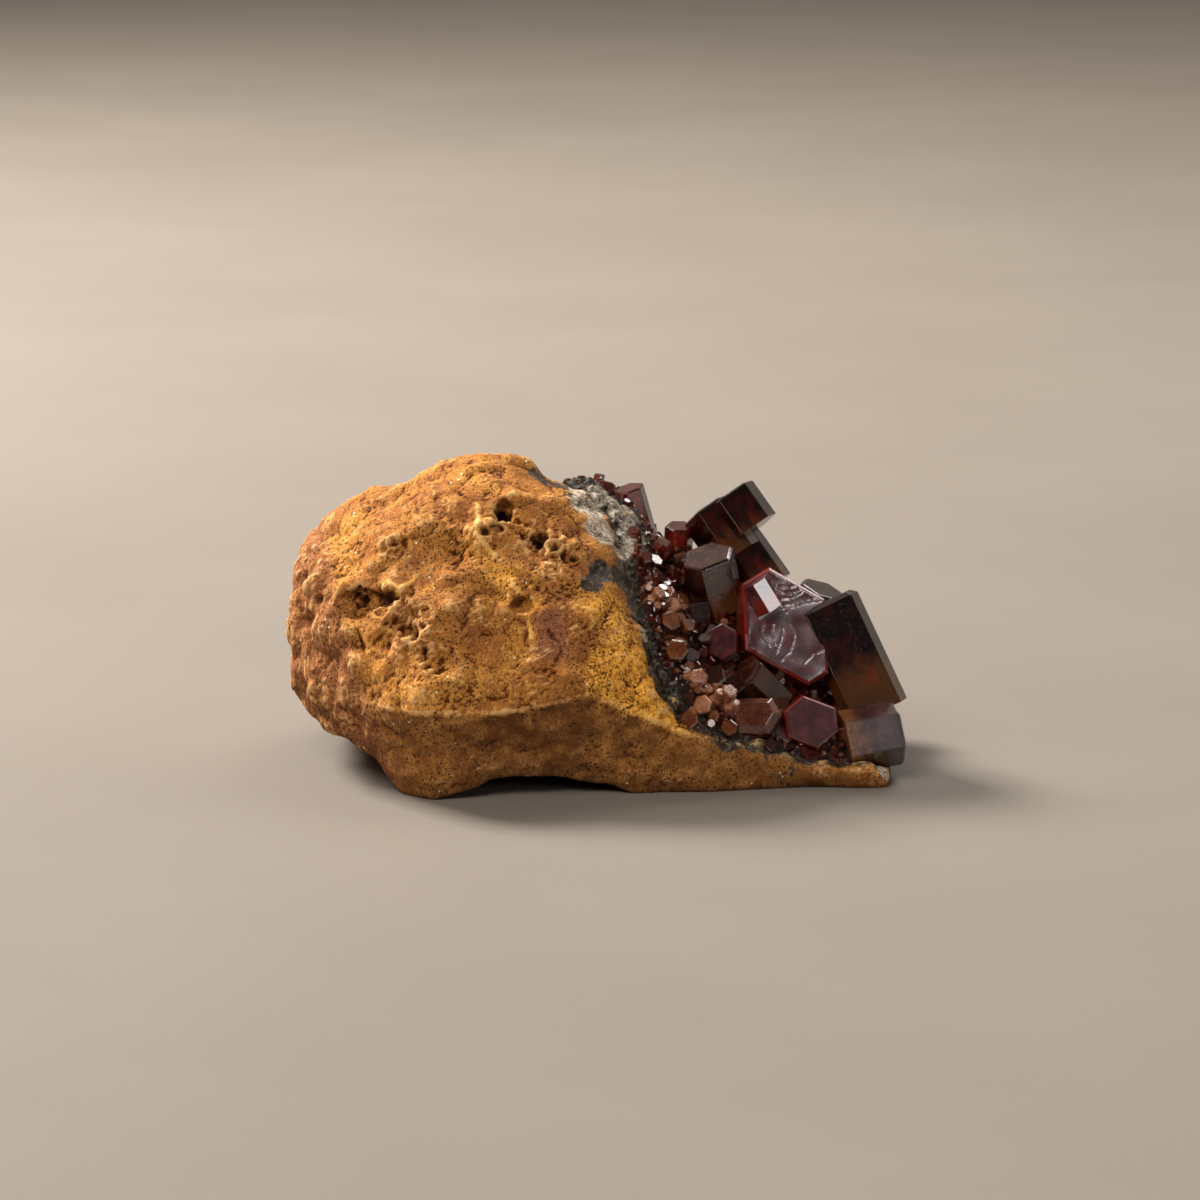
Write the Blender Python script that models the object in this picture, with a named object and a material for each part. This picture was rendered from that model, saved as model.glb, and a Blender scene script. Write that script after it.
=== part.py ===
"""A vanadinite crystal cluster on its rock matrix, in metres, +Z up.

The specimen lies as it would on a shelf. The rock's long side runs along X, its broken face looks
towards -Y, and the dark red crystals stand on its right-hand slope, towards +X. The origin is at the
middle of the footprint, on the surface that the specimen rests on.
"""
import math
import random

import bmesh
import bpy
from mathutils import Matrix, Vector, noise

for old in list(bpy.data.objects):
    bpy.data.objects.remove(old)

MM = 0.001
UP = Vector((0, 0, 1))

# Driving dimensions, in millimetres
TOUCHING_GAP = 0.3          # clearance between a crystal and what it grew on
ROCK_ROUGHNESS = 0.75       # height of the lumps on the broken rock
FLOOR_CONTACT = 0.55        # whatever of the underside comes this low is worn flat
CRUST_THICKNESS = 2.0       # measured straight down
CRUST_CLEARANCE = 0.45      # measured straight down, from the crust to the rock under it
CRUST_PITCH = 1.95          # spacing of the points that shape the crust
RIM_THINNING = 0.5          # of its thickness that the crust keeps along its edge
SMALL_CRYSTALS = 66         # how many stand on the crust
SMALL_CRYSTAL_SPACING = 1.95
SMALL_CRYSTAL_ROOT = 1.4
BEVEL_FACE_TILT = 42        # degrees between the end face of a crystal and the bevels round it
SEED = 31


def material(name, colour, roughness, transmission=0.0, ior=1.5):
    mat = bpy.data.materials.new(name)
    mat.use_nodes = True
    shader = mat.node_tree.nodes["Principled BSDF"]
    shader.inputs["Base Color"].default_value = (*colour, 1)
    shader.inputs["Roughness"].default_value = roughness
    shader.inputs["Metallic"].default_value = 0
    shader.inputs["Transmission Weight"].default_value = transmission
    shader.inputs["IOR"].default_value = ior
    mat.diffuse_color = (*colour, 1)
    return mat


ROCK = material("ochre_rock", (0.36, 0.18, 0.05), 0.9)
CRUST = material("small_crystal_crust", (0.24, 0.07, 0.03), 0.35)
CRYSTAL = material("dark_red_crystal", (0.16, 0.02, 0.015), 0.12, 0.2, 2.4)


def add_object(name, bm, mat=None):
    """Make an object from a bmesh, and free the bmesh."""
    mesh = bpy.data.meshes.new(name)
    bm.to_mesh(mesh)
    bm.free()
    if mat:
        mesh.materials.append(mat)
    obj = bpy.data.objects.new(name, mesh)
    bpy.context.scene.collection.objects.link(obj)
    return obj


def add_cutter(name, bm):
    cutter = add_object(name, bm)
    cutter.hide_render = True
    cutter.display_type = "WIRE"
    return cutter


def combine(obj, other, operation):
    """Join the other object to this one, or cut it away, and keep the result as this one's mesh."""
    boolean = obj.modifiers.new(operation.lower(), "BOOLEAN")
    boolean.operation = operation
    boolean.object = other
    apply_modifiers(obj)


def apply_modifiers(obj):
    depsgraph = bpy.context.evaluated_depsgraph_get()
    depsgraph.update()
    shaped = bpy.data.meshes.new_from_object(obj.evaluated_get(depsgraph))
    plain = obj.data
    obj.modifiers.clear()
    obj.data = shaped
    bpy.data.meshes.remove(plain)


def reach_of(verts):
    """How far apart the farthest of some vertices lie along one axis."""
    return max(max(v.co[axis] for v in verts) - min(v.co[axis] for v in verts) for axis in range(3))


def drop_crumbs(obj):
    """Delete the loose bits that a cut leaves, so that one body remains."""
    bm = bmesh.new()
    bm.from_mesh(obj.data)
    unseen = set(bm.verts)
    bodies = []
    while unseen:
        front = [unseen.pop()]
        body = list(front)
        while front:
            for edge in front.pop().link_edges:
                for vert in edge.verts:
                    if vert in unseen:
                        unseen.remove(vert)
                        front.append(vert)
                        body.append(vert)
        bodies.append(body)
    bodies.sort(key=reach_of)
    for body in bodies[:-1]:
        bmesh.ops.delete(bm, geom=body, context="VERTS")
    bm.to_mesh(obj.data)
    bm.free()


# The rock: cross-sections at places along X, each from the front foot up over the top and back under.
# Every section has the same points: foot, under the ridge, ridge, low face, high face, brow, crown,
# nape, high back, middle back, low back, heel, and two points of the belly. Each is (y, z).
ROCK_SECTIONS = {
    -39.3: [(-3, 9), (-5, 11), (-6, 13), (-6, 16), (-5, 19), (-3, 22), (1, 24), (5, 24), (8, 21),
            (10, 17), (9, 12), (6, 9), (3, 8), (0, 8)],
    -36.5: [(-8.5, 7), (-9.5, 9), (-9.8, 12), (-9.4, 16), (-7.6, 21), (-4.2, 25), (1, 28), (7, 28),
            (13, 24), (16, 18), (15, 11), (11, 7), (5, 6), (-2, 6)],
    -32.5: [(-13, 5), (-15, 7), (-15.5, 10.5), (-15.7, 16), (-13.2, 22), (-6.7, 27.2), (1, 31),
            (8, 31), (16, 26), (20, 18.5), (19, 9.5), (14, 4), (6, 3.5), (-4, 4)],
    -28.5: [(-16, 3.5), (-19, 5.5), (-21, 10.3), (-19.2, 16.5), (-14, 23.5), (-7, 29.7), (1, 33.8),
            (9, 33), (18, 27), (22.5, 18), (21.5, 8), (16, 1.5), (7, 2), (-5, 3)],
    -24.3: [(-21, 0), (-23.5, 5.5), (-25, 11.7), (-21, 18), (-14.5, 25.5), (-6.5, 32), (2, 35.6),
            (11, 34), (20, 27.5), (24.5, 18), (23.5, 7.5), (18, 0), (8, 1.5), (-7, 1.5)],
    -20.0: [(-24.2, 0), (-25, 5.5), (-26, 11.8), (-21.5, 18.5), (-14.5, 27), (-6, 34), (2.5, 37.7),
            (12, 35.5), (21, 28.5), (26, 18), (24.5, 7), (19, 0), (8, 0.8), (-8, 1)],
    -13.0: [(-22.8, 2), (-23.8, 6), (-26, 11.4), (-22, 18.5), (-14.5, 28), (-6, 35.5), (2, 39.3),
            (12, 36.5), (21.5, 29), (26.5, 18), (25, 6.5), (19.5, 0), (8, 1.5), (-10, 2.5)],
    -6.8: [(-21.7, 2.5), (-23, 6.5), (-26, 12.4), (-22.5, 18.5), (-15.5, 27.5), (-6, 34.3), (3, 37.5),
           (12, 34.5), (20.5, 27), (25, 17), (24, 6), (19, 0), (8, 1.5), (-10, 2.5)],
    -0.5: [(-20.9, 1.5), (-22.5, 7), (-25, 13.5), (-22, 19), (-15.5, 26.5), (-5.5, 32.3), (4, 34.8),
           (12, 31), (18.5, 23), (22.5, 14), (22, 5.5), (17.5, 0), (8, 1), (-10, 1.5)],
    5.0: [(-21.1, 0.5), (-22, 5.5), (-23.2, 10.8), (-20.7, 15.5), (-15, 22), (-6, 27.5), (4, 30),
          (11, 27.5), (16, 21), (20, 13), (20.5, 5), (16.5, 0), (8, 0.8), (-9, 1)],
    9.0: [(-20.4, 0), (-21.2, 4.5), (-21.8, 8.8), (-19, 12), (-14.5, 15.5), (-7, 20.5), (2, 25),
          (9, 23.5), (14, 18), (18.5, 11.5), (19.5, 5), (16, 0), (8, 0.5), (-8, 0.5)],
    14.0: [(-20.5, 0), (-21, 3.5), (-21, 7), (-18.3, 8.6), (-13.5, 11.5), (-6.5, 17.5), (2, 23.5),
           (8, 22), (13, 17), (17, 10.5), (18, 4.5), (15, 0), (7, 0.3), (-7, 0.3)],
    20.0: [(-19.3, 0), (-20, 3), (-20, 5.6), (-17.3, 6.6), (-13, 9), (-6.5, 14), (1.5, 20),
           (7.5, 18.5), (12.5, 14), (16, 8.5), (17, 3.5), (14, 0), (6, 0), (-6, 0)],
    27.0: [(-17.8, 0), (-19, 2), (-19, 3.6), (-16.3, 4.2), (-12.3, 5.6), (-6.5, 8.8), (0.5, 12.3),
           (6.5, 11.7), (11, 9), (14, 5.8), (14.5, 2.7), (12, 0), (5, 0), (-6, 0)],
    33.0: [(-18, 0), (-18.8, 1.2), (-18.8, 2.4), (-15.8, 2.8), (-11.5, 3.7), (-6.3, 5.6), (-0.5, 7.6),
           (4.5, 7.2), (8, 5.7), (10.5, 3.7), (11, 1.9), (9, 0), (3, 0), (-7, 0)],
    37.3: [(-17.8, 0.2), (-18.3, 0.8), (-18, 1.6), (-15, 1.9), (-11, 2.4), (-7, 3.2), (-4, 3.6),
           (-1, 3.4), (1.5, 2.9), (3, 2.2), (3, 1.4), (2, 0.3), (-2, 0.2), (-8, 0.2)],
}


def broken_surface(point):
    """How far the broken rock stands out at a point, from large lumps down to small ones."""
    lumps = noise.noise(point * 0.13 + Vector((4.1, 0, 7)))
    ledges = noise.noise(Vector((point.x * 0.16, point.y * 0.3, point.z * 0.42)) + Vector((0, 9, 2)))
    cells = noise.voronoi(point * 0.24 + Vector((2, 5, 1)))[0]
    crumbs = noise.noise(point * 0.62)
    shoulders = max(0, min(1, point.y / 9)) * noise.noise(point * 0.085 + Vector((1, 3, 8)))
    broken = cells[1] - cells[0] - 0.35
    return 1.1 * lumps + 0.9 * ledges + 1.3 * broken + 0.5 * crumbs + 4 * shoulders - 0.25


# Knobs and scoops on the broken face: where, how far across from the middle, and how far it stands out
KNOBS = [
    ((-23.8, -17.3, 22.3), 2.6, -1.6),
    ((-26.5, -16.8, 20.5), 2.4, 1.0),
    ((-21, -20, 20.2), 2.1, 1.1),
    ((-22.8, -20.5, 18), 1.9, -1.2),
    ((-21.7, -24.4, 14.5), 2.0, 1.2),
    ((-19.5, -12.9, 28.4), 6, -0.9),
    ((-25.5, -10, 29.5), 4, 0.8),
    ((-7.4, -11.8, 30.8), 3.2, -1.5),
    ((-4.4, -8.5, 33), 2.3, 1.0),
    ((-6, -14, 28.8), 2.2, 0.9),
    ((-2.5, -11.5, 30.5), 1.9, 0.9),
    ((-12, -20.5, 21), 7, -0.8),
    ((-36, -6, 24), 2.6, 1.1),
    ((-37.6, -7.6, 19.4), 2.2, -0.9),
    ((-36, -11.5, 12), 3, 0.9),
    ((-31, -15.5, 8), 2.2, 1.0),
]


def knob_height(point):
    total = 0
    for place, reach, rise in KNOBS:
        away = (point - Vector(place)).length / reach
        if away < 1:
            total += rise * (1 - away * away) ** 2
    return total


def rock_block():
    bm = bmesh.new()
    rings = []
    for x, outline in ROCK_SECTIONS.items():
        corners = [bm.verts.new((x, y, z)) for y, z in outline]
        rings.append([bm.edges.new((a, b)) for a, b in zip(corners, corners[1:] + corners[:1])])
    for first, second in zip(rings, rings[1:]):
        bmesh.ops.bridge_loops(bm, edges=first + second)
    for end in (rings[0], rings[-1]):
        cap = bmesh.ops.contextual_create(bm, geom=end)["faces"]
        bmesh.ops.poke(bm, faces=cap)
    bmesh.ops.recalc_face_normals(bm, faces=bm.faces)
    bmesh.ops.subdivide_edges(bm, edges=bm.edges, cuts=1, use_grid_fill=True, smooth=0.45)
    in_sight = [face for face in bm.faces
                if face.normal.y < -0.2 and face.calc_center_median().z > 9]
    shown_edges = list({edge for face in in_sight for edge in face.edges})
    bmesh.ops.subdivide_edges(bm, edges=shown_edges, cuts=1, use_grid_fill=True)
    bmesh.ops.triangulate(bm, faces=bm.faces, quad_method="SHORT_EDGE")
    bm.normal_update()
    for vert in bm.verts:
        if vert.co.z > FLOOR_CONTACT:
            strength = min(1, vert.co.z / 6)
            rise = broken_surface(vert.co) * ROCK_ROUGHNESS * strength + knob_height(vert.co)
            vert.co += vert.normal * rise
    for vert in bm.verts:
        if vert.co.z < FLOOR_CONTACT:
            vert.co.z = 0
    return bm


# Holes broken into the front of the rock: where, how wide and how deep, in millimetres
PITS = [
    ((-30.2, -12.8, 23), (2.7, 2.6, 2.1)),
    ((-22.9, -18.7, 20.2), (1.2, 1.8, 1.0)),
    ((-11.5, -7.8, 33.6), (1.5, 2.6, 1.7)),
    ((-12.6, -11.4, 31.8), (1.0, 1.6, 0.9)),
    ((-8.9, -17.6, 23.7), (1.4, 2.0, 1.2)),
    ((-7.4, -11.8, 29.8), (2.3, 2.0, 0.9)),
]


def lumpy_pit(place, half_size):
    bm = bmesh.new()
    bmesh.ops.create_icosphere(bm, subdivisions=2, radius=1)
    bmesh.ops.scale(bm, vec=half_size, verts=bm.verts)
    for vert in bm.verts:
        vert.co *= 1 + 0.45 * noise.noise(vert.co * 0.9 + Vector(place))
    bmesh.ops.translate(bm, vec=place, verts=bm.verts)
    return bm


# The crystals. Each is a hexagonal prism that stands at a place, leans some degrees from upright
# towards a compass direction (0 is +X, 90 is +Y) and is turned about its own axis. Its six sides lie
# at their own distances from the axis, because one side often grows faster than the next. Its end
# face is a distance above the place, its root a distance below, and the bevel is the edge's width.
def crystal(at, lean, towards, turn, sides, top, root, bevel=0.35):
    return {"at": at, "lean": lean, "towards": towards, "turn": turn, "sides": sides,
            "top": top, "root": root, "bevel": bevel}


def even(width):
    return (width,) * 6


CRYSTALS = {
    "large_tabular_crystal": [
        crystal((24.3, -8, 18.7), 66, -77, 87, (5.8, 6, 7.4, 5.1, 5.2, 8.2), 0, 9, 0.45),
        crystal((21.7, -7.6, 22.5), 32, 170, 122, even(1.6), 2.2, 2, 0.15),
    ],
    "upper_stepped_crystal": [
        crystal((19.2, 2, 31.5), 40, 152, 124, (2.6, 3.2, 2.9, 2.6, 2.6, 2.9), 2.8, 2.7, 0.3),
        crystal((15.9, 3, 29.6), 40, 152, 124, (2.9, 3.2, 3.4, 3, 3.6, 2.6), 2.5, 5, 0.3),
    ],
    "upper_back_crystal": [
        crystal((20.3, 3, 25), 40, 152, 124, (2.4, 3.1, 2.6, 2.6, 4.4, 2.6), 2.8, 4.6, 0.3),
    ],
    "bright_prism_crystal": [
        crystal((15.2, -4, 24.9), 22, -123, 53, (2.8, 3, 3, 3, 3.1, 3.3), 2.6, 5.4, 0.3),
    ],
    "right_tall_crystal": [
        crystal((32.4, -5, 14.8), 28, 154, 124, (3, 4.4, 3.6, 3, 3, 4.2), 6.8, 9, 0.7),
    ],
    "lower_right_crystal": [
        crystal((35.8, -13, 5.3), 82, 11, -111, (3.4, 3.6, 3.6, 3.6, 3.6, 3.6), 3.3, 4, 0.45),
    ],
    "front_hexagon_crystal": [
        crystal((27.8, -16, 8), 74, -84, 158, (2.8, 3.4, 3.4, 3, 3.1, 3.2), 0, 5, 0.3),
    ],
    "rounded_red_crystal": [
        crystal((20.2, -16.5, 9.1), 56, -97, -178, (2.2, 3.1, 3.1, 2.6, 3.2, 3.2), 1, 4.6, 0.9),
    ],
    "ridge_crystal": [
        crystal((5.2, 8, 31.5), 16, -160, 89, (1.9, 1.7, 1.7, 1.9, 1.7, 1.9), 2.2, 4.5, 0.25),
    ],
    "wall_crystal": [
        crystal((11.1, 4, 27.4), 11, -75, -9, (1.7, 1.6, 1.6, 1.7, 1.7, 1.7), 2, 5, 0.2),
    ],
    "small_mauve_crystal": [
        crystal((16.6, -11, 17.2), 72, -99, 93, (1.6, 2.1, 2.3, 1.9, 2.1, 1.9), 0.3, 5, 0.2),
    ],
    "shaded_prism_crystal": [
        crystal((13.3, -5, 19), 9, 129, 147, (2, 2.3, 2.3, 2, 2, 2), 2.4, 5, 0.2),
    ],
    "back_grey_crystal": [
        crystal((28.8, 1.5, 18.5), 21, -21, -54, even(3), 3.2, 7.5, 0.5),
    ],
    "brown_root_crystal": [
        crystal((20.8, -11.5, 11.6), 45, -150, 168, even(2.5), 3, 4, 0.3),
    ],
    "small_wedge_crystal": [
        crystal((23.9, -15.2, 6), 48, -66, 147, even(1.4), 1.2, 2.4, 0.15),
    ],
    "rear_slope_crystal": [
        crystal((15, 13.5, 18.5), 42, 65, 20, (3, 3.4, 3, 3, 3.6, 3), 3.2, 4.5, 0.45),
        crystal((19, 11.5, 18), 34, 20, 45, even(2.1), 3.4, 4.5, 0.25),
    ],
    "rear_tabular_crystal": [
        crystal((24.5, 10.5, 13), 58, 70, 10, (4.6, 4.2, 5, 4.4, 4.2, 4.8), 2.2, 4, 0.5),
    ],
    "rear_right_crystal": [
        crystal((32, 7.5, 9.5), 48, 40, 75, (3, 2.7, 3.1, 2.8, 2.8, 3), 3.4, 4, 0.4),
    ],
    "right_low_crystal": [
        crystal((36.2, -2.5, 6.3), 62, 5, 12, (2.4, 2.6, 2.4, 2.8, 2.4, 2.5), 2.2, 4, 0.35),
    ],
    "rear_ridge_crystal": [
        crystal((6, 14.8, 24.8), 38, 80, 33, (2.4, 2.2, 2.5, 2.3, 2.2, 2.4), 2.4, 4, 0.3),
    ],
}


def cut_face(bm, normal, distance):
    """Slice the solid flat where a crystal face lies, and close it there."""
    cut = bmesh.ops.bisect_plane(bm, geom=bm.verts[:] + bm.edges[:] + bm.faces[:], dist=1e-6,
                                 plane_co=normal * distance, plane_no=normal, clear_outer=True)
    rim = [item for item in cut["geom_cut"] if isinstance(item, bmesh.types.BMEdge)]
    if rim:
        bmesh.ops.edgeloop_fill(bm, edges=rim)


def crystal_solid(form, grow=0.0):
    """One crystal, cut from a block by its faces, with every face moved out by the growth."""
    bm = bmesh.new()
    bmesh.ops.create_cube(bm, size=60)
    cut_face(bm, UP, form["top"] + grow)
    cut_face(bm, -UP, form["root"] + grow)
    tilt = math.radians(BEVEL_FACE_TILT)
    for number, reach in enumerate(form["sides"]):
        bearing = math.radians(60 * number)
        out = Vector((math.cos(bearing), math.sin(bearing), 0))
        cut_face(bm, out, reach + grow)
        if form["bevel"]:
            slope = out * math.sin(tilt) + UP * math.cos(tilt)
            edge = out * (reach - form["bevel"]) + UP * form["top"]
            cut_face(bm, slope, slope.dot(edge) + grow)
    bmesh.ops.recalc_face_normals(bm, faces=bm.faces)
    place = (Matrix.Translation(form["at"]) @ Matrix.Rotation(math.radians(form["towards"]), 4, "Z")
             @ Matrix.Rotation(math.radians(form["lean"]), 4, "Y")
             @ Matrix.Rotation(math.radians(form["turn"]), 4, "Z"))
    bmesh.ops.transform(bm, matrix=place, verts=bm.verts)
    return bm


def intergrown(name, forms):
    """A crystal, with any that have grown through it joined to make one solid."""
    whole = add_object(name, crystal_solid(forms[0]), CRYSTAL)
    for number, form in enumerate(forms[1:], 2):
        joined = add_cutter(f"{name}_part_{number}", crystal_solid(form))
        combine(whole, joined, "UNION")
    return whole


def near(first, second):
    reach = sum(max(*form["sides"], form["top"], form["root"]) for form in (first, second)) * 1.3
    return (Vector(first["at"]) - Vector(second["at"])).length < reach


# The crust of small crystals covers the slope inside this outline, seen from above
CRUST_MIDDLE = (17.5, -0.5, 0)
CRUST_CELLS = (24, 22)      # along X and along Y, enough to reach past the outline
CRUST_OUTLINE = [(-4, 4), (2, -1), (4, -8), (6.5, -14), (9.5, -18.3), (14, -18.6), (20, -17.8),
                 (27, -16.8), (34, -16.2), (36, -12), (36.2, 0), (33, 8), (26, 13), (18, 15.5), (8, 18),
                 (1, 17), (-4, 11)]
# The larger crystals that have grown together with the crust: x, y, lean, direction, width, height
CRUST_LARGER = [
    (7.6, -10.5, 48, -40, 1.3, 1.6),
    (9.7, -8.6, 40, -75, 1.8, 1.9),
    (9.3, -11.6, 55, -60, 1.5, 1.4),
    (10.3, -14.2, 60, -80, 1.6, 1.6),
    (12.4, -12.5, 35, -100, 1.5, 2.0),
    (12.9, -15.6, 62, -70, 1.8, 1.6),
    (15.4, -13.7, 50, -95, 1.7, 1.8),
    (14.2, -17.6, 66, -110, 2.1, 1.8),
    (16.6, -16, 38, -60, 1.6, 2.2),
    (17.6, -13.2, 58, -80, 1.6, 1.8),
    (1.4, 5.6, 22, 60, 1.3, 0.6),
    (8.5, -1.5, 40, -20, 1.6, 1.5),
    (33.5, 1.5, 40, 30, 1.7, 1.6),
    (29.5, 9.5, 50, 75, 1.6, 1.5),
    (12, 11, 30, 100, 1.7, 1.5),
]


def inside(x, y, outline):
    crossings = 0
    for (x1, y1), (x2, y2) in zip(outline, outline[1:] + outline[:1]):
        if (y1 > y) != (y2 > y) and x < x1 + (y - y1) * (x2 - x1) / (y2 - y1):
            crossings += 1
    return crossings % 2 == 1


def rock_height(rock, x, y):
    """The top of the rock at a place, and the way that it faces there."""
    hit, point, normal, _ = rock.ray_cast(Vector((x, y, 80)), -UP)
    return (point.z, normal) if hit else (None, None)


def sheet_over_rock(rock, low, high, wavy, centre, outline=None):
    """A closed sheet that follows the rock, from one height above it to another."""
    along, across = CRUST_CELLS
    bm = bmesh.new()
    bmesh.ops.create_grid(bm, x_segments=along, y_segments=across, size=0.5)
    bmesh.ops.scale(bm, vec=(along * CRUST_PITCH, across * CRUST_PITCH, 1), verts=bm.verts)
    bmesh.ops.translate(bm, vec=centre, verts=bm.verts)
    if outline:
        outside = [face for face in bm.faces
                   if not inside(*face.calc_center_median().xy, outline)]
        bmesh.ops.delete(bm, geom=outside, context="FACES")
        rim = [vert for vert in bm.verts if vert.is_boundary]
        for _ in range(3):
            bmesh.ops.smooth_vert(bm, verts=rim, factor=0.5, use_axis_x=True, use_axis_y=True)
    step = CRUST_PITCH * 0.6
    for vert in bm.verts:
        around = [(0, 0), (step, 0), (-step, 0), (0, step), (0, -step)]
        heights = [rock_height(rock, vert.co.x + dx, vert.co.y + dy)[0] for dx, dy in around]
        vert.co.z = max(height or 0 for height in heights)
    lid = bmesh.ops.extrude_face_region(bm, geom=bm.faces[:])["geom"]
    raised = {item for item in lid if isinstance(item, bmesh.types.BMVert)}
    for vert in bm.verts:
        if vert in raised:
            at_rim = any(edge.other_vert(vert) not in raised for edge in vert.link_edges)
            uneven = wavy * noise.noise(vert.co * 0.55)
            vert.co.z += high * (RIM_THINNING if at_rim and outline else 1) + uneven
        else:
            vert.co.z += low
    bmesh.ops.triangulate(bm, faces=bm.faces)
    bmesh.ops.recalc_face_normals(bm, faces=bm.faces)
    return bm


def small_crystal_places(rock):
    """Seeded places on the crust for small crystals, kept a little apart."""
    draw = random.Random(SEED)
    places = list(CRUST_LARGER)
    while len(places) < SMALL_CRYSTALS + len(CRUST_LARGER):
        x, y = draw.uniform(-1, 35), draw.uniform(-18, 17)
        apart = all(math.hypot(x - px, y - py) > SMALL_CRYSTAL_SPACING for px, py, *_ in places)
        if apart and inside(x, y, CRUST_OUTLINE):
            normal = rock_height(rock, x, y)[1]
            lean = math.degrees(normal.angle(UP)) * 0.7 + draw.uniform(-28, 28)
            compass = math.degrees(math.atan2(normal.y, normal.x)) + draw.uniform(-40, 40)
            places.append((x, y, lean, compass, draw.uniform(0.75, 1.3), draw.uniform(0.6, 1.4)))
    return places


def build_crust(rock):
    slab = sheet_over_rock(rock, -1.2, CRUST_THICKNESS, 0.8, CRUST_MIDDLE, CRUST_OUTLINE)
    crust = add_object("crystal_crust", slab, CRUST)
    for number, place in enumerate(small_crystal_places(rock)):
        x, y, lean, compass, width, stand = place
        surface = rock_height(rock, x, y)[0] + CRUST_THICKNESS
        form = crystal((x, y, surface), lean, compass, 37 * number, even(width), stand,
                       SMALL_CRYSTAL_ROOT, 0)
        combine(crust, add_cutter(f"small_crystal_{number}", crystal_solid(form)), "UNION")
    off_grid = Vector(CRUST_MIDDLE) + Vector((0.4, 0.3, 0))
    under = sheet_over_rock(rock, -40, CRUST_CLEARANCE, 0, off_grid)
    combine(crust, add_cutter("crust_underside", under), "DIFFERENCE")
    return crust


rock = add_object("matrix_rock", rock_block(), ROCK)
for number, (place, half_size) in enumerate(PITS):
    combine(rock, add_cutter(f"pit_{number}", lumpy_pit(place, half_size)), "DIFFERENCE")
crust = build_crust(rock)

finished = {}
for name, forms in CRYSTALS.items():
    solid = intergrown(name, forms)
    for earlier, earlier_forms in finished.items():
        for number, form in enumerate(earlier_forms):
            if any(near(form, own) for own in forms):
                room = add_cutter(f"{name}_clear_of_{earlier}_{number}", crystal_solid(form, TOUCHING_GAP))
                combine(solid, room, "DIFFERENCE")
    for number, form in enumerate(forms):
        socket = add_cutter(f"{name}_socket_{number}", crystal_solid(form, TOUCHING_GAP))
        combine(rock, socket, "DIFFERENCE")
        combine(crust, socket, "DIFFERENCE")
    drop_crumbs(solid)
    finished[name] = forms
drop_crumbs(rock)
drop_crumbs(crust)

# Everything above is shaped in millimetres. The finished solids are in metres, over the origin.
solids = [obj for obj in bpy.data.objects if not obj.hide_render]
corners = [vert.co for obj in solids for vert in obj.data.vertices]
low = Vector([min(corner[axis] for corner in corners) for axis in range(3)])
high = Vector([max(corner[axis] for corner in corners) for axis in range(3)])
middle = Vector(((low.x + high.x) / 2, (low.y + high.y) / 2, low.z))
for obj in bpy.data.objects:
    obj.data.transform(Matrix.Scale(MM, 4) @ Matrix.Translation(-middle))
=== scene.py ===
import math
import random

import bmesh
import bpy
import numpy as np
from mathutils import Euler, Matrix, Vector, noise
from mathutils.bvhtree import BVHTree


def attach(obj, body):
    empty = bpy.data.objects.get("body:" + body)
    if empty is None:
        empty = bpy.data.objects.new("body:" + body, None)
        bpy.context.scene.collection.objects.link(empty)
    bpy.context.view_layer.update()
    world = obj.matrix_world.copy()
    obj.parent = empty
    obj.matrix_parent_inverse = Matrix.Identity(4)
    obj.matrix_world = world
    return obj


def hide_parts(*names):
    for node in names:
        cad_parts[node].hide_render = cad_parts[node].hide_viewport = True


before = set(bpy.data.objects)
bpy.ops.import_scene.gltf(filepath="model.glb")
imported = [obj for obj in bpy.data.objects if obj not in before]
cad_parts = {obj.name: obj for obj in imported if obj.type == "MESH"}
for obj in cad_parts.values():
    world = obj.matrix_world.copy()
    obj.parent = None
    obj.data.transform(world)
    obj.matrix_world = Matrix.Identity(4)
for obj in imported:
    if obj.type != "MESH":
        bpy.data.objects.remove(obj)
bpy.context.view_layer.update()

for unused in ("Cube", "Camera", "Light"):
    if unused in bpy.data.objects:
        bpy.data.objects.remove(bpy.data.objects[unused])


# The camera. It looks down a little on the broken face of the rock, from far off, so that the
# specimen keeps its true proportions. Places in this script are in millimetres, in the frame that
# the specimen was measured in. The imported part's origin lies at MIDDLE there.
MM = 0.001
MIDDLE = Vector((0.3222, 0.98565, 0))
TO_FRAME = Matrix.Scale(MM, 4) @ Matrix.Translation(-MIDDLE)
TO_MM = TO_FRAME.inverted()
EYE = Vector((0.79, -556.98, 148.84))
LOOKING_DOWN = 13       # degrees
LENS = 132              # a 36 mm sensor's lens, in millimetres

camera_data = bpy.data.cameras.new("camera")
camera_data.lens = LENS
camera_data.sensor_width = 36
camera_data.clip_start = 0.01
camera = bpy.data.objects.new("camera", camera_data)
camera.location = TO_FRAME @ EYE
camera.rotation_euler = Euler((math.radians(90 - LOOKING_DOWN), 0, 0))
bpy.context.scene.collection.objects.link(camera)
bpy.context.scene.camera = camera
bpy.context.scene.view_settings.view_transform = "Standard"


# The floor and the light. The specimen stands on a plain pale warm-grey tabletop. The main light is a
# soft window behind it on the left, and weaker windows stand behind and in front of it on the right.
# The room is pale behind the specimen and dark in front, as the faces of the crystals show.
FLOOR_SIZE = 8          # metres
FLOOR_COLOUR = (0.150, 0.127, 0.105, 1)
FLOOR_CLOUDS = (0.18, 0.154, 0.128, 1)
ROOM_BEHIND = (0.33, 0.285, 0.24, 1)
ROOM_IN_FRONT = (0.026, 0.023, 0.021, 1)
ROOM_BLEND = 0.55       # how far from the middle the room's two shades reach, as a share of its depth
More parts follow.
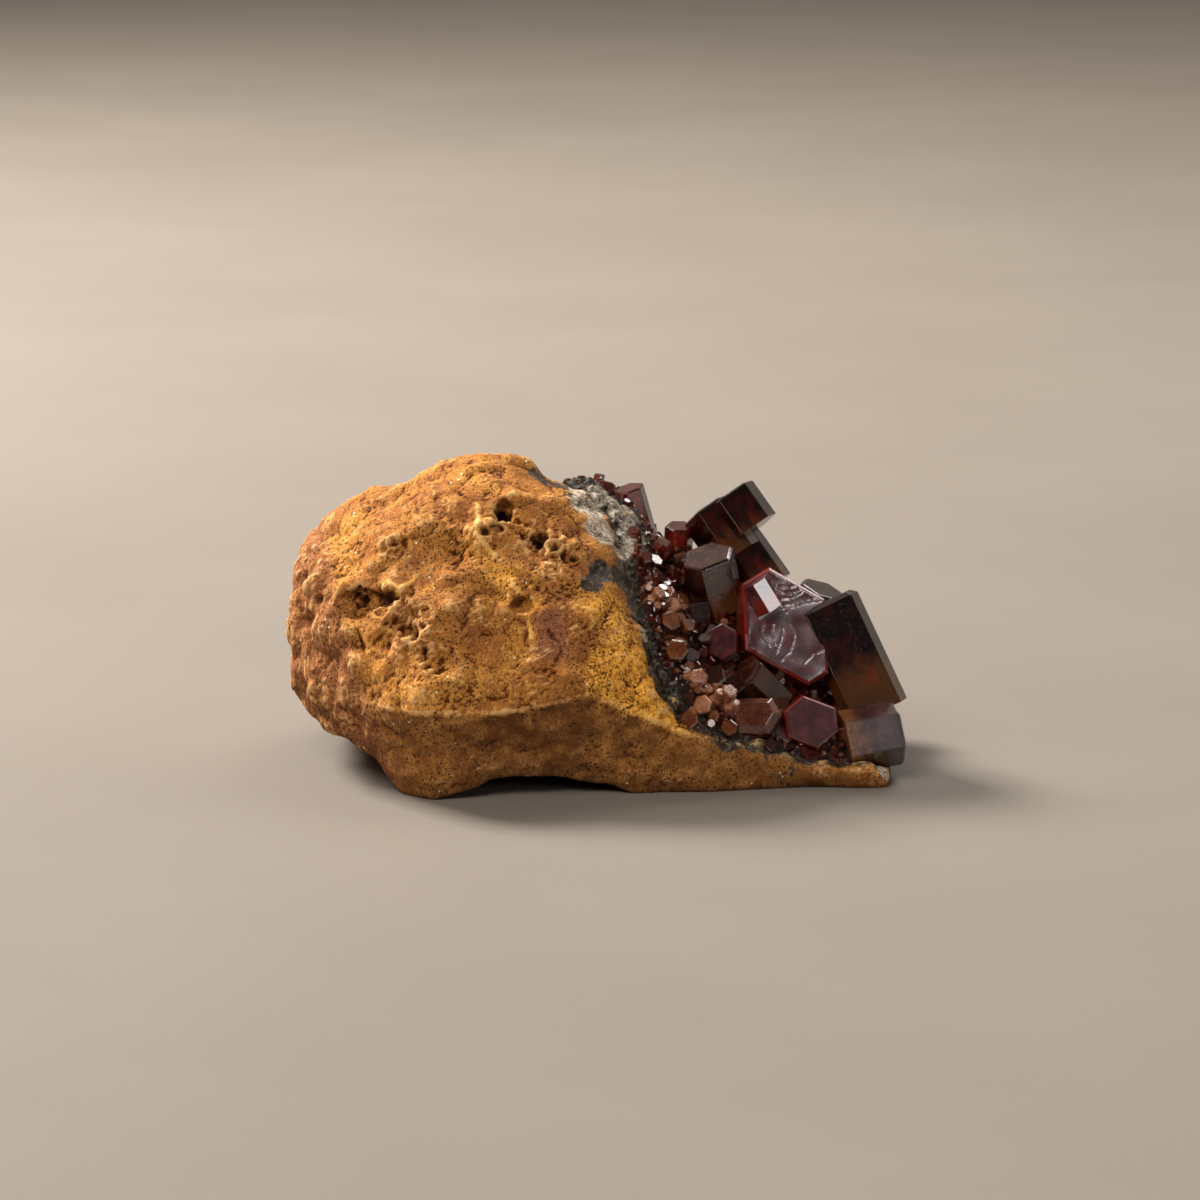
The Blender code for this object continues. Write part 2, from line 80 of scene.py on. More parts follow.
# For each light: bearing and height in degrees, distance, width and height in metres, watts, colour,
# and whether shiny faces mirror it. The main window is split in two, so that its mirror image is weaker,
# and a soft fill from the front left lightens the shade.
LIGHTS = {
    "key": (139, 39, 0.9, 0.30, 0.22, 19.0, (1, 0.97, 0.93), False),
    "key_glint": (139, 39, 0.9, 0.30, 0.22, 8.0, (1, 0.97, 0.93), True),
    "rear_window": (58, 50, 1.0, 0.5, 0.4, 3.4, (1, 0.97, 0.94), True),
    "bright_window": (-50, 20, 0.9, 0.36, 0.22, 0.95, (1, 0.98, 0.96), True),
    "soft_fill": (-122, 52, 1.0, 0.6, 0.5, 8.4, (1, 0.97, 0.94), False),
}


class Reading:
    """A number, colour or place that a finish works out at each spot of a surface."""

    def __init__(self, finish, socket):
        self.finish = finish
        self.socket = socket

    def worked(self, operation, *values):
        return self.finish.node("ShaderNodeMath", {"operation": operation}, dict(enumerate(values)))

    def __add__(self, other):
        return self.worked("ADD", self, other)

    def __radd__(self, other):
        return self.worked("ADD", other, self)

    def __sub__(self, other):
        return self.worked("SUBTRACT", self, other)

    def __rsub__(self, other):
        return self.worked("SUBTRACT", other, self)

    def __mul__(self, other):
        return self.worked("MULTIPLY", self, other)

    def __rmul__(self, other):
        return self.worked("MULTIPLY", other, self)

    def above(self, low, high):
        """0 up to the low value, 1 from the high one, and smooth between them."""
        return self.finish.node("ShaderNodeMapRange", {"interpolation_type": "SMOOTHSTEP"},
                                {"Value": self, "From Min": low, "From Max": high})


class Finish:
    """A material, built up from its nodes one after another."""

    def __init__(self, name):
        self.material = bpy.data.materials.new(name)
        self.material.use_nodes = True
        self.tree = self.material.node_tree
        self.shader = self.tree.nodes["Principled BSDF"]

    def join(self, value, socket):
        if isinstance(value, Reading):
            self.tree.links.new(value.socket, socket)
        else:
            socket.default_value = value

    def node(self, kind, settings=None, inputs=None, output=0):
        """Adds a node: its settings are set first, then its sockets get values or links."""
        made = self.tree.nodes.new(kind)
        for name, value in (settings or {}).items():
            setattr(made, name, value)
        for name, value in (inputs or {}).items():
            self.join(value, made.inputs[name])
        return Reading(self, made.outputs[output])

    def surface(self, **values):
        """Sets the shader's own sockets, as in base_color=reading."""
        for name, value in values.items():
            label = name.replace("_", " ").title().replace("Ior", "IOR")
            self.join(value, self.shader.inputs[label])

    def place(self):
        """Where a spot is on the piece, in millimetres."""
        metres = self.node("ShaderNodeTexCoord", output=3)
        return self.node("ShaderNodeVectorMath", {"operation": "SCALE"},
                         {0: metres, "Scale": 1 / MM})

    def stretched(self, place, by):
        return self.node("ShaderNodeVectorMath", {"operation": "MULTIPLY"}, {0: place, 1: by})

    def noise(self, place, per_mm, detail=4.0, roughness=0.6, distortion=0.0):
        return self.node("ShaderNodeTexNoise", None,
                         {"Vector": place, "Scale": per_mm, "Detail": detail,
                          "Roughness": roughness, "Distortion": distortion})

    def specks(self, place, per_mm, size):
        """1 on small round specks, one or none in each cell of a net."""
        away = self.node("ShaderNodeTexVoronoi", None, {"Vector": place, "Scale": per_mm})
        return 1 - away.above(size * 0.6, size)

    def attribute(self, name, output=2):
        """What the mesh itself carries at each spot: a number, or with output 1 a place."""
        return self.node("ShaderNodeAttribute", {"attribute_name": name}, output=output)

    def blend(self, share, first, second, way="MIX"):
        return self.node("ShaderNodeMix", {"data_type": "RGBA", "blend_type": way},
                         {0: share, 6: first, 7: second}, output=2)

    def shaded(self, share, colour, by):
        """The colour, multiplied by another one as far as the share says."""
        return self.blend(share, colour, self.blend(1, colour, by, "MULTIPLY"))

    def bump(self, height, strength, distance, under=None):
        """A surface relief, with the height's unit given as a distance in millimetres."""
        inputs = {"Height": height, "Strength": strength, "Distance": distance * MM}
        if under:
            inputs["Normal"] = under
        return self.node("ShaderNodeBump", None, inputs)


floor_finish = Finish("pale_tabletop")
spot = floor_finish.place()
cloudy = floor_finish.noise(spot, 0.012, 3)
grain = floor_finish.noise(spot, 1.1, 3)
floor_finish.surface(
    base_color=floor_finish.blend(cloudy.above(0.3, 0.7) * 0.35 + grain * 0.12, FLOOR_COLOUR,
                                  FLOOR_CLOUDS),
    roughness=0.62,
    normal=floor_finish.bump(grain, 0.15, 0.2),
)
bm = bmesh.new()
bmesh.ops.create_grid(bm, x_segments=2, y_segments=2, size=FLOOR_SIZE / 2)
floor_mesh = bpy.data.meshes.new("tabletop")
bm.to_mesh(floor_mesh)
bm.free()
floor_mesh.materials.append(floor_finish.material)
tabletop = bpy.data.objects.new("tabletop", floor_mesh)
bpy.context.scene.collection.objects.link(tabletop)

for name, (bearing, height, distance, wide, tall, watts, colour, mirrored) in LIGHTS.items():
    lamp = bpy.data.lights.new(name, "AREA")
    lamp.shape = "RECTANGLE"
    lamp.size = wide
    lamp.size_y = tall
    lamp.energy = watts
    lamp.color = colour
    light = bpy.data.objects.new(name, lamp)
    light.visible_glossy = mirrored
    light.visible_transmission = mirrored
    towards = Vector((math.cos(math.radians(bearing)) * math.cos(math.radians(height)),
                      math.sin(math.radians(bearing)) * math.cos(math.radians(height)),
                      math.sin(math.radians(height))))
    light.location = towards * distance
    light.rotation_euler = towards.to_track_quat("Z", "Y").to_euler()
    bpy.context.scene.collection.objects.link(light)

room = bpy.data.worlds.new("room")
room.use_nodes = True
bpy.context.scene.world = room
sky_nodes = room.node_tree.nodes
sky_links = room.node_tree.links
heading = sky_nodes.new("ShaderNodeTexCoord")
parts = sky_nodes.new("ShaderNodeSeparateXYZ")
toward_back = sky_nodes.new("ShaderNodeMapRange")
toward_back.interpolation_type = "SMOOTHSTEP"
toward_back.inputs["From Min"].default_value = -ROOM_BLEND
toward_back.inputs["From Max"].default_value = ROOM_BLEND
room_colour = sky_nodes.new("ShaderNodeMix")
room_colour.data_type = "RGBA"
room_colour.inputs[6].default_value = ROOM_IN_FRONT
room_colour.inputs[7].default_value = ROOM_BEHIND
sky_links.new(heading.outputs["Generated"], parts.inputs[0])
sky_links.new(parts.outputs["Y"], toward_back.inputs["Value"])
sky_links.new(toward_back.outputs[0], room_colour.inputs[0])
sky_links.new(room_colour.outputs[2], sky_nodes["Background"].inputs["Color"])


# The rock that the crystals grew on: ochre iron-stained matrix, broken off in the mine. Its broken
# faces are grainy and pitted, its left end is striated, and a black and grey seam runs along the
# crystals. It is the CAD solid under a finer net of faces, roughened in place.
ROCK_NET = 0.39             # spacing of the points on its surface
FLAT_UNDER = 0.35           # below this height the rock is left alone, where it rests
# The height of the edge between its upper and its lower front face, from left to right
RIDGE = [(-24, 11.7), (-13, 11.4), (-6.8, 12.4), (-0.5, 13.5), (5, 10.8), (9, 8.8), (14, 7),
         (20, 5.6), (27, 3.6), (37, 1.6)]
# Broken, honeycombed places: where and how far they reach
PITTED = [((-22.9, -18.7, 20.7), 4.2), ((-25.5, -16, 23), 3.6), ((-20.5, -21.5, 17.5), 3),
          ((-7.4, -11.5, 31), 3.8), ((-4.5, -12, 29.5), 3.2), ((-11.5, -9, 33), 2.8),
          ((-16.5, -11, 32), 2), ((-26, -9, 30), 2.5)]
# Single holes: where, how wide from the middle, how deep
HOLES = [((-1.1, -22.1, 18.9), 0.35, 0.7), ((2.2, -23.6, 8), 0.75, 1.2),
         ((-29.8, -11.6, 23.2), 1.5, 0.9), ((-27.9, -13.5, 23.6), 1.8, 1.3), ((-26, -14.7, 24), 1.4, 1.0),
         ((-22.9, -18.7, 20.7), 1.0, 1.2), ((-12.3, -11.1, 32.3), 1.0, 1.2),
         ((-11.6, -6.8, 32.8), 1.5, 1.5), ((-13.9, -10.6, 31.6), 0.8, 0.8),
         ((-8.8, -18.2, 24.2), 1.15, 0.9), ((-6.8, -10.4, 30.5), 1.3, 1.3),
         ((-5, -12.5, 30.2), 0.9, 1.1), ((-8.6, -10.9, 31.2), 0.8, 1.0),
         ((-2.6, -13, 28.9), 0.7, 0.9), ((-3.4, -9.6, 30.6), 0.8, 0.9),
         ((-21.4, -21, 18.6), 0.6, 0.8), ((-35.5, -8.6, 22.5), 0.9, 0.7),
         ((-36.3, -11.5, 13), 0.8, 0.7), ((-18.6, -14.6, 27), 0.5, 0.5)]
CREASE = [(-30, -15.6, 20), (-28.4, -18.6, 16), (-27.5, -20.5, 12.5)]
END_FACE_FROM = -23.5       # where the striated left end begins, at the bottom
END_FACE_SLANT = 0.36       # how much further left it begins, for each millimetre up
FRONT_FROM = 10             # the front faces lie more than this in front of the rock's axis
EDGE_WIDTH = 0.38           # of the pale edge between the two front faces
SOFTENING = 1.5             # height over which the relief fades in above the flat underside
# Thin pale veins and broken edges that stand out a little
VEINS = [[(-11.3, -13.5, 27.2), (-9.6, -16.6, 25.4), (-8.8, -18.6, 23.6), (-7.9, -20.6, 20.2)],
         [(-20.4, -11, 30), (-19.4, -14.4, 26.8)],
         [(-30.4, -9, 27.5), (-26.8, -12.5, 26.5), (-24.8, -14.5, 24.5), (-21, -13, 28)],
         [(-11.3, -13.5, 27.2), (-14.5, -11, 31), (-15, -7, 34.5)]]
# Where colours lie on it: places, and how far each reaches
ZONES = {
    "yellow": [((4, -21.5, 16), 7), ((7, -20.5, 12), 5), ((1, -17, 24), 5), ((-10.8, -14.5, 26), 2),
               ((-8.7, -18.3, 24), 2), ((10, -20, 8.5), 3.5), ((-21, -15, 25.5), 1.2),
               ((1.5, -14, 26.5), 3)],
    "stain": [((-5.5, -20.3, 22), 2.6), ((-5, -21.3, 19.2), 2.8)],
    "grey": [((-0.6, -2.4, 33.4), 3.8), ((1.2, -5.4, 30.6), 3.6), ((-2.4, 0.8, 34.7), 1.8),
             ((3.8, -5.5, 28), 3.2), ((5.9, -8.4, 24), 2.2), ((6.3, -15, 19.4), 1.6),
             ((37, -17, 1.6), 1.8)],
}
# The line along which the crystals' crust ends on the rock, seen from above
CRUST_OUTLINE = [(-4.2, 4), (1.6, -1), (3.6, -8), (6, -14), (8.8, -18.6), (14, -19.2), (20, -18.4),
                 (27, -17.4), (34, -16.8), (36.6, -12), (36.8, 0), (33.4, 8), (26.2, 13.4),
                 (18, 16), (8, 18.4), (1, 17.4), (-4.4, 11)]
SEAM_REACH = 1.9            # how far the black seam spreads over the rock beyond that line
SEAM_FROM = 1.6             # the seam stops this high above the floor
BLACK_PATCHES = [((-6.2, 4.2, 37.6), 2.2), ((-5.6, 0.6, 36.8), 1.9), ((-4.6, 0.8, 36), 2.4),
                 ((-6.8, 0.2, 37), 2.2), ((-0.3, -15, 25.8), 2.2), ((0.8, -12.6, 26.6), 2.6),
                 ((3.2, -10.6, 26), 2)]
# The seam's colours: its black, and the dark, pale and ochre parts of its grey stretch
SEAM_BLACK = (0.018, 0.017, 0.016, 1)
TONGUE_DARK = (0.13, 0.115, 0.092, 1)
TONGUE_PALE = (0.76, 0.65, 0.49, 1)
TONGUE_OCHRE = (0.55, 0.27, 0.06, 1)


def even_out(bm, verts, times, upwards=True):
    """Rounds a net of faces off a little, by drawing its points together."""
    for _ in range(times):
        bmesh.ops.smooth_vert(bm, verts=verts, factor=0.5, use_axis_x=True, use_axis_y=True,
                              use_axis_z=upwards)


def node_in_mm(name):
    """A copy of a CAD node's mesh in millimetres, with its loose triangles joined up."""
    bm = bmesh.new()
    bm.from_mesh(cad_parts[name].data)
    bmesh.ops.transform(bm, matrix=TO_MM, verts=bm.verts)
    bmesh.ops.remove_doubles(bm, verts=bm.verts, dist=0.001)
    return bm


def with_even_net(bm, spacing):
    """The same solid under an even net of small faces."""
    draft_mesh = bpy.data.meshes.new("draft")
    bm.to_mesh(draft_mesh)
    bm.free()
    draft = bpy.data.objects.new("draft", draft_mesh)
    bpy.context.scene.collection.objects.link(draft)
    remesh = draft.modifiers.new("even_net", "REMESH")
    remesh.mode = "VOXEL"
    remesh.voxel_size = spacing
    shaped = draft.evaluated_get(bpy.context.evaluated_depsgraph_get()).to_mesh()
    fine = bmesh.new()
    fine.from_mesh(shaped)
    bpy.data.objects.remove(draft)
    return fine


def share(value, start, full):
    """0 at the start value, 1 at the full one, and smooth between them."""
    part = min(1, max(0, (value - start) / (full - start)))
    return part * part * (3 - 2 * part)


def nearness(points, spots):
    """For each point, how deep it lies within the nearest of some round spots, from 0 to 1."""
    total = np.zeros(len(points))
    for place, reach in spots:
        away = np.linalg.norm(points - np.array(place), axis=1) / reach
        total = np.maximum(total, np.clip(1 - away * away, 0, 1))
    return total


def distance_to_line(points, route):
    """How far each point lies from a line of straight stretches."""
    nearest = np.full(len(points), 1e9)
    for start, end in zip(route, route[1:]):
        a, b = np.array(start), np.array(end)
        along = np.clip((points - a) @ (b - a) / ((b - a) @ (b - a)), 0, 1)
        nearest = np.minimum(nearest, np.linalg.norm(points - a - along[:, None] * (b - a), axis=1))
    return nearest


def rock_relief(point, pitted, end_face, lower_face):
    """How far the broken rock stands out at a point, beyond the CAD solid's lumps."""
    waves = 0.35 * noise.noise(point * 0.32)
    chips = noise.voronoi(point * 0.2 + Vector((3, 1, 7)))[0]
    facets = 0.9 * (min(0.45, chips[1] - chips[0]) - 0.25)
    rough_patch = share(noise.noise(point * 0.17 + Vector((5, 2, 1))), -0.1, 0.35)
    grain = (0.05 + 0.15 * rough_patch) * noise.fractal(point * 1.4, 0.8, 2.2, 3)
    relief = (waves + facets + grain) * (1 - 0.45 * lower_face)
    if pitted > 0:
        cells = noise.voronoi(point * 0.7 + Vector((0, 5, 2)))[0]
        relief += pitted * (0.75 - 1.7 * max(0, 0.62 - cells[0]) - 0.35)
        relief += pitted * 0.45 * noise.fractal(point * 0.9 + Vector((4, 4, 4)), 0.7, 2.2, 3)
    if end_face > 0:
        fibres = Vector((point.x * 1.1, point.y * 1.1, point.z * 0.2))
        relief += end_face * 0.18 * noise.fractal(fibres, 0.8, 2.1, 3)
        relief += end_face * 0.1 * noise.fractal(point * 1.3, 0.8, 2.1, 2)
    return relief


bm = with_even_net(node_in_mm("matrix_rock"), ROCK_NET)
even_out(bm, bm.verts, 2)
bm.normal_update()
points = np.array([vert.co for vert in bm.verts])
facing = np.array([vert.normal for vert in bm.verts])
zones = {name: nearness(points, spots) for name, spots in ZONES.items()}
zones["pitted"] = nearness(points, PITTED)
outline_loop = [(x, y, 0) for x, y in CRUST_OUTLINE + CRUST_OUTLINE[:1]]
from_crust = distance_to_line(points * (1, 1, 0), outline_loop)
zones["black"] = np.maximum(np.clip(1 - from_crust / SEAM_REACH, 0, 1) * (points[:, 2] > SEAM_FROM)
                            * np.clip(1.1 - 1.6 * zones["grey"], 0, 1),
                            nearness(points, BLACK_PATCHES))
end_edge = END_FACE_FROM - END_FACE_SLANT * points[:, 2]
zones["end_face"] = np.clip((end_edge - points[:, 0]) / 1.6, 0, 1)
ridge_height = np.interp(points[:, 0], *zip(*RIDGE))
in_front = np.clip((-points[:, 1] - FRONT_FROM) / 3, 0, 1)
zones["lower_face"] = np.clip((ridge_height - points[:, 2]) / 0.5, 0, 1) * in_front
zones["lower_face"] *= 1 - zones["end_face"]
zones["edge"] = np.exp(-((ridge_height + 0.15 - points[:, 2]) / EDGE_WIDTH) ** 2) * in_front
sunk = np.zeros(len(points))
raggedness = np.array([0.3 * noise.noise(vert.co * 1.3) + 0.15 * noise.noise(vert.co * 3)
                       for vert in bm.verts])
for place, wide, deep in HOLES:
    away = np.linalg.norm(points - np.array(place), axis=1) / wide + raggedness
    sunk += 1.5 * deep * np.clip(1.6 - 1.6 * away * away, 0, 1)
sunk += 0.45 * np.clip(1 - distance_to_line(points, CREASE) / 0.6, 0, 1)
zones["vein"] = np.zeros(len(points))
for route in VEINS:
    away = distance_to_line(points, route) + 0.5 * raggedness
    zones["vein"] = np.maximum(zones["vein"], np.exp(-(np.maximum(away, 0) / 0.5) ** 2))
rise = np.array([
    rock_relief(vert.co, zones["pitted"][i], zones["end_face"][i], zones["lower_face"][i])
    for i, vert in enumerate(bm.verts)
]) - sunk + 0.2 * zones["edge"] * (1 - zones["end_face"]) + 0.3 * zones["vein"]
rise *= np.clip((points[:, 2] - FLAT_UNDER) / SOFTENING, 0, 1)
for vert, out, height in zip(bm.verts, facing, rise):
    vert.co += Vector(out) * height
    vert.co.z = max(0, vert.co.z)
bm.normal_update()
bend = np.array([
    sum((edge.other_vert(vert).co - vert.co).dot(vert.normal) for edge in vert.link_edges)
    / len(vert.link_edges) for vert in bm.verts
])
# How far each point is sunk, for painted shade that darkens the holes and the crease
zones["deep"] = np.clip(sunk / 1.3, 0, 1)
# How hollow each point is, for painted shade in the hollows and painted light on the bumps
zones["hollow"] = np.clip(0.5 + bend / 0.12, 0, 1) * 0.5 + np.clip(0.5 - rise / 1.2, 0, 1) * 0.5
for name, shares in zones.items():
    layer = bm.verts.layers.float.new(name)
    for vert, value in zip(bm.verts, shares):
        vert[layer] = value


def add_piece(name, bm, finishes, smooth=False):
    """Moves a finished shape from millimetres into the frame, and makes it an object."""
    bmesh.ops.transform(bm, matrix=TO_FRAME, verts=bm.verts)
    for face in bm.faces:
        face.smooth = smooth
    mesh = bpy.data.meshes.new(name)
    bm.to_mesh(mesh)
    bm.free()
    for finish in finishes:
        mesh.materials.append(finish.material)
    piece = bpy.data.objects.new(name, mesh)
    bpy.context.scene.collection.objects.link(piece)
    return piece


ochre = Finish("ochre_rock")
spot = ochre.place()
mottled = ochre.noise(spot, 0.13, 5, 0.6, 0.5)
patchy = ochre.noise(spot, 0.5, 6, 0.68)
grainy = ochre.noise(spot, 3.4, 5, 0.7)
gritty = ochre.noise(spot, 9, 4, 0.7)
hollow = ochre.attribute("hollow")
sandy = ochre.noise(spot, 1.7, 5, 0.75)
colour = ochre.blend(mottled.above(0.36, 0.66), (0.40, 0.148, 0.034, 1), (0.63, 0.275, 0.050, 1))
colour = ochre.blend(patchy.above(0.5, 0.68) * 0.7, colour, (0.76, 0.38, 0.09, 1))
colour = ochre.blend(patchy.above(0.5, 0.32) * 0.7, colour, (0.27, 0.090, 0.028, 1))
striped = ochre.noise(ochre.stretched(spot, (1, 1, 0.2)), 0.8, 6, 0.7)
end_colour = ochre.blend(striped.above(0.36, 0.64), (0.30, 0.108, 0.039, 1), (0.44, 0.178, 0.067, 1))
colour = ochre.blend(ochre.attribute("end_face") * 0.85, colour, end_colour)
yellow = (ochre.attribute("yellow") + (patchy - 0.5) * 1.5).above(0.15, 0.7)
colour = ochre.blend(yellow * 0.85, colour, ochre.blend(sandy.above(0.38, 0.6), (0.86, 0.31, 0.028, 1),
                                                        (1, 0.54, 0.08, 1)))
broad = ochre.noise(spot, 0.055, 3, 0.6)
colour = ochre.blend(broad.above(0.52, 0.4) * 0.5, colour, (0.30, 0.105, 0.034, 1))
stain = (ochre.attribute("stain") + (patchy - 0.5) * 1.1).above(0.15, 0.8)
colour = ochre.blend(stain * 0.7, colour, (0.34, 0.135, 0.075, 1))
# Painted shade: the lower front face, which faces down, is coloured darker
lower_face_shade = ochre.blend(patchy.above(0.38, 0.62), (0.19, 0.068, 0.018, 1), (0.38, 0.165, 0.045, 1))
colour = ochre.blend(ochre.attribute("lower_face") * 0.85, colour, lower_face_shade)
vein = (ochre.attribute("vein") + (patchy - 0.5) * 0.8).above(0.3, 0.75)
colour = ochre.blend(vein * 0.7, colour, (0.92, 0.50, 0.10, 1))
colour = ochre.blend(ochre.attribute("edge") * patchy.above(0.4, 0.62) * 0.5, colour, (0.80, 0.44, 0.15, 1))
calm = 1 - ochre.attribute("lower_face") * 0.4
colour = ochre.shaded(sandy.above(0.55, 0.36) * calm * 0.5, colour, (0.34, 0.25, 0.2, 1))
streaks = ochre.noise(ochre.stretched(spot, (1, 1.6, 0.5)), 1.3, 6, 0.8, 0.8)
grey = (ochre.attribute("grey") + (patchy - 0.5) * 1.6).above(0.2, 0.6)
grey_colour = ochre.blend(streaks.above(0.42, 0.56), TONGUE_DARK, TONGUE_PALE)
grey_colour = ochre.blend(patchy.above(0.56, 0.66) * 0.8, grey_colour, TONGUE_OCHRE)
colour = ochre.blend(grey, colour, grey_colour)
black = (ochre.attribute("black") + (patchy - 0.5) * 1.8).above(0.25, 0.55)
black_colour = ochre.blend(streaks.above(0.5, 0.64), SEAM_BLACK, (0.22, 0.20, 0.15, 1))
black_colour = ochre.blend(sandy.above(0.6, 0.7) * 0.7, black_colour, (0.42, 0.17, 0.04, 1))
colour = ochre.blend(black * 0.95, colour, black_colour)
dark_specks = ochre.specks(spot, 1.6, 0.34) * (1 - black) * (1 - grey * 0.5)
speckled = ochre.noise(spot, 0.14, 2).above(0.4, 0.56)
colour = ochre.blend(dark_specks * speckled * 0.85, colour, (0.035, 0.02, 0.014, 1))
fine_specks = ochre.specks(spot, 2.8, 0.36) * patchy.above(0.36, 0.52)
colour = ochre.blend(fine_specks * 0.8, colour, (0.05, 0.026, 0.014, 1))
glints = ochre.specks(spot, 0.6, 0.11)
colour = ochre.blend(glints * mottled.above(0.5, 0.56) * 0.85, colour, (0.9, 0.84, 0.70, 1))
colour = ochre.shaded(grainy.above(0.62, 0.3) * calm * 0.5, colour, (0.30, 0.20, 0.13, 1))
# Painted shade in the hollows, then painted light on the bumps
colour = ochre.shaded(hollow.above(0.56, 0.85) * (1 - ochre.attribute("end_face") * 0.5), colour,
                      (0.22, 0.14, 0.10, 1))
colour = ochre.blend(hollow.above(0.4, 0.15) * 0.5, colour, (0.82, 0.50, 0.20, 1))
# Painted shade: the holes and the crease are coloured near black
colour = ochre.blend(ochre.attribute("deep").above(0.25, 0.9) * 0.85, colour, (0.05, 0.02, 0.009, 1))
ochre.surface(
    base_color=colour,
    roughness=0.88 - black * 0.35,
    normal=ochre.bump(gritty * calm, 0.7, 0.12,
                      ochre.bump(grainy * calm, 0.7, 0.22, ochre.bump(patchy, 0.6, 0.6))),
)
ochre.shader.inputs["Specular IOR Level"].default_value = 0.3

rock = add_piece("rough_rock", bm, [ochre], smooth=True)
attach(rock, "root")
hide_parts("matrix_rock")


# The crystals: vanadinite, hexagonal prisms with flat end faces and narrow bevels, deep brownish red
# and glassy, grown out of the crust. Each stands at a place and leans from upright towards a bearing,
# and its six sides lie at their own distances from its axis, because some grew faster than others.
BEVEL_FACE_TILT = 42        # degrees between the end face and the bevels round it
WORN_EDGE = 0.07            # width of the rounding on the crystals' edges


def crystal(at, lean, towards, turn, sides, top, root, bevel=0.35):
    """One crystal: where it stands, its angles in degrees, how far its six sides lie from its axis and
    its end face and root from its place, and the width of the bevels round the end face."""
    return {"at": at, "lean": lean, "towards": towards, "turn": turn, "sides": sides,
            "top": top, "root": root, "bevel": bevel}


def even(width):
    return (width,) * 6


CRYSTALS = {
    "large_tabular_crystal": [
        crystal((24.3, -8, 18.7), 66, -77, 87, (5.8, 6, 7.4, 5.1, 5.2, 8.2), 0, 9, 0.45),
        crystal((21.7, -7.6, 22.5), 32, 170, 122, even(1.6), 2.2, 2, 0.15),
    ],
    "upper_stepped_crystal": [
        crystal((19.2, 2, 31.5), 40, 152, 124, (2.6, 3.2, 2.9, 2.6, 2.6, 2.9), 2.8, 2.7, 0.3),
        crystal((15.9, 3, 29.6), 40, 152, 124, (2.9, 3.2, 3.4, 3, 3.6, 2.6), 2.5, 5, 0.3),
    ],
    "upper_back_crystal": [
        crystal((20.3, 3, 25), 40, 152, 124, (2.4, 3.1, 2.6, 2.6, 4.4, 2.6), 2.8, 4.6, 0.3),
    ],
    "bright_prism_crystal": [
        crystal((15.2, -4, 24.9), 22, -123, 53, (2.8, 3, 3, 3, 3.1, 3.3), 2.6, 5.4, 0.3),
    ],
    "right_tall_crystal": [
        crystal((32.4, -5, 14.8), 28, 154, 124, (3, 4.4, 3.6, 3, 3, 4.2), 6.8, 9, 0.7),
    ],
    "lower_right_crystal": [
        crystal((35.8, -13, 5.3), 82, 11, -111, (3.4, 3.6, 3.6, 3.6, 3.6, 3.6), 3.3, 4, 0.45),
    ],
    "front_hexagon_crystal": [
        crystal((27.8, -16, 8), 74, -84, 158, (2.8, 3.4, 3.4, 3, 3.1, 3.2), 0, 5, 0.3),
    ],
    "rounded_red_crystal": [
        crystal((20.2, -16.5, 9.1), 56, -97, -178, (2.2, 3.1, 3.1, 2.6, 3.2, 3.2), 1, 4.6, 0.9),
    ],
    "ridge_crystal": [
        crystal((5.2, 8, 31.5), 16, -160, 89, (1.9, 1.7, 1.7, 1.9, 1.7, 1.9), 2.2, 4.5, 0.25),
    ],
    "wall_crystal": [
        crystal((11.1, 4, 27.4), 11, -75, -9, (1.7, 1.6, 1.6, 1.7, 1.7, 1.7), 2, 5, 0.2),
    ],
    "small_mauve_crystal": [
        crystal((16.6, -11, 17.2), 72, -99, 93, (1.6, 2.1, 2.3, 1.9, 2.1, 1.9), 0.3, 5, 0.2),
    ],
    "shaded_prism_crystal": [
        crystal((13.3, -5, 19), 9, 129, 147, (2, 2.3, 2.3, 2, 2, 2), 2.4, 5, 0.2),
    ],
    "back_grey_crystal": [
        crystal((28.8, 1.5, 18.5), 21, -21, -54, even(3), 3.2, 7.5, 0.5),
    ],
    "brown_root_crystal": [
        crystal((20.8, -11.5, 11.6), 45, -150, 168, even(2.5), 3, 4, 0.3),
    ],
    "small_wedge_crystal": [
        crystal((23.9, -15.2, 6), 48, -66, 147, even(1.4), 1.2, 2.4, 0.15),
    ],
    "rear_slope_crystal": [
        crystal((15, 13.5, 18.5), 42, 65, 20, (3, 3.4, 3, 3, 3.6, 3), 3.2, 4.5, 0.45),
        crystal((19, 11.5, 18), 34, 20, 45, even(2.1), 3.4, 4.5, 0.25),
    ],
    "rear_tabular_crystal": [
        crystal((24.5, 10.5, 13), 58, 70, 10, (4.6, 4.2, 5, 4.4, 4.2, 4.8), 2.2, 4, 0.5),
    ],
    "rear_right_crystal": [
        crystal((32, 7.5, 9.5), 48, 40, 75, (3, 2.7, 3.1, 2.8, 2.8, 3), 3.4, 4, 0.4),
    ],
    "right_low_crystal": [
        crystal((36.2, -2.5, 6.3), 62, 5, 12, (2.4, 2.6, 2.4, 2.8, 2.4, 2.5), 2.2, 4, 0.35),
    ],
    "rear_ridge_crystal": [
        crystal((6, 14.8, 24.8), 38, 80, 33, (2.4, 2.2, 2.5, 2.3, 2.2, 2.4), 2.4, 4, 0.3),
    ],
}


def cut_face(bm, normal, distance):
    """Slice the solid flat where a crystal face lies, and close it there."""
    cut = bmesh.ops.bisect_plane(bm, geom=bm.verts[:] + bm.edges[:] + bm.faces[:], dist=1e-6,
                                 plane_co=normal * distance, plane_no=normal, clear_outer=True)
    rim = [item for item in cut["geom_cut"] if isinstance(item, bmesh.types.BMEdge)]
    if rim:
        bmesh.ops.edgeloop_fill(bm, edges=rim)


